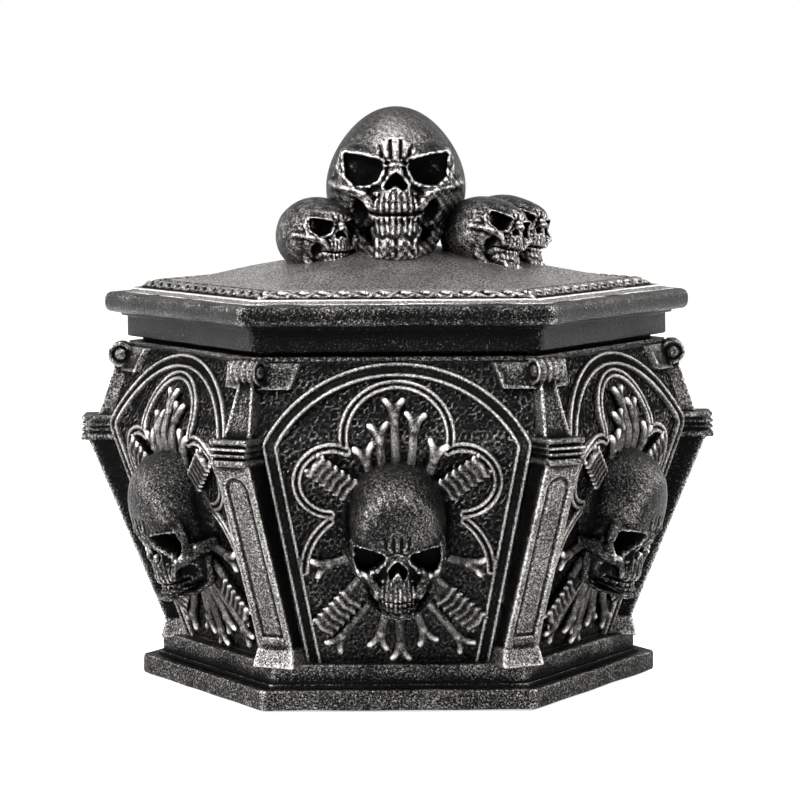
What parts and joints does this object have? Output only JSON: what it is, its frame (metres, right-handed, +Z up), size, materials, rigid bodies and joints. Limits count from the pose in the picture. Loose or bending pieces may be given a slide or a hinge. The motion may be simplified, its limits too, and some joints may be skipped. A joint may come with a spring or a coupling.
{
  "type": "trinket box",
  "caption": "Six-sided lidded trinket box with a skull, crossed bones and gothic tracery on every wall, corner pilasters and a lift-off lid crowned by skulls.",
  "frame": {"origin": "on the surface that the box stands on, under the centre of its base", "axes": "+Z up; -Y is the front, where the large skull on the lid faces; +X to the right, through two corners of the hexagon"},
  "size_m": [0.132, 0.1188, 0.1185],
  "materials": {
    "antique_pewter": "satin",
    "felt": "matte"
  },
  "bodies": {
    "box": {"felt_pad": "felt", "plinth": "antique_pewter", "wall_front": "antique_pewter", "wall_front_right": "antique_pewter", "wall_back_right": "antique_pewter", "wall_back": "antique_pewter", "wall_back_left": "antique_pewter", "wall_front_left": "antique_pewter", "rim": "antique_pewter", "pilaster_right": "antique_pewter", "pilaster_back_right": "antique_pewter", "pilaster_back_left": "antique_pewter", "pilaster_left": "antique_pewter", "pilaster_front_left": "antique_pewter", "pilaster_front_right": "antique_pewter", "tracery_front": "antique_pewter", "tracery_front_right": "antique_pewter", "tracery_back_right": "antique_pewter", "tracery_back": "antique_pewter", "tracery_back_left": "antique_pewter", "tracery_front_left": "antique_pewter", "wall_skull_front": "antique_pewter", "wall_skull_front_right": "antique_pewter", "wall_skull_back_right": "antique_pewter", "wall_skull_back": "antique_pewter", "wall_skull_back_left": "antique_pewter", "wall_skull_front_left": "antique_pewter", "bones_front": "antique_pewter", "bones_front_right": "antique_pewter", "bones_back_right": "antique_pewter", "bones_back": "antique_pewter", "bones_back_left": "antique_pewter", "bones_front_left": "antique_pewter"},
    "lid": {"lid_plate": "antique_pewter", "lid_lip": "antique_pewter", "lid_roof": "antique_pewter", "lid_border": "antique_pewter", "crown_skull": "antique_pewter", "small_skull_left": "antique_pewter", "small_skull_right": "antique_pewter", "small_skull_rear": "antique_pewter"}
  },
  "joints": [
    {"name": "lid_lift", "type": "slide", "parent": "box", "child": "lid", "axis": [0, 0, 1], "range_m": [0, 0.06]}
  ]
}
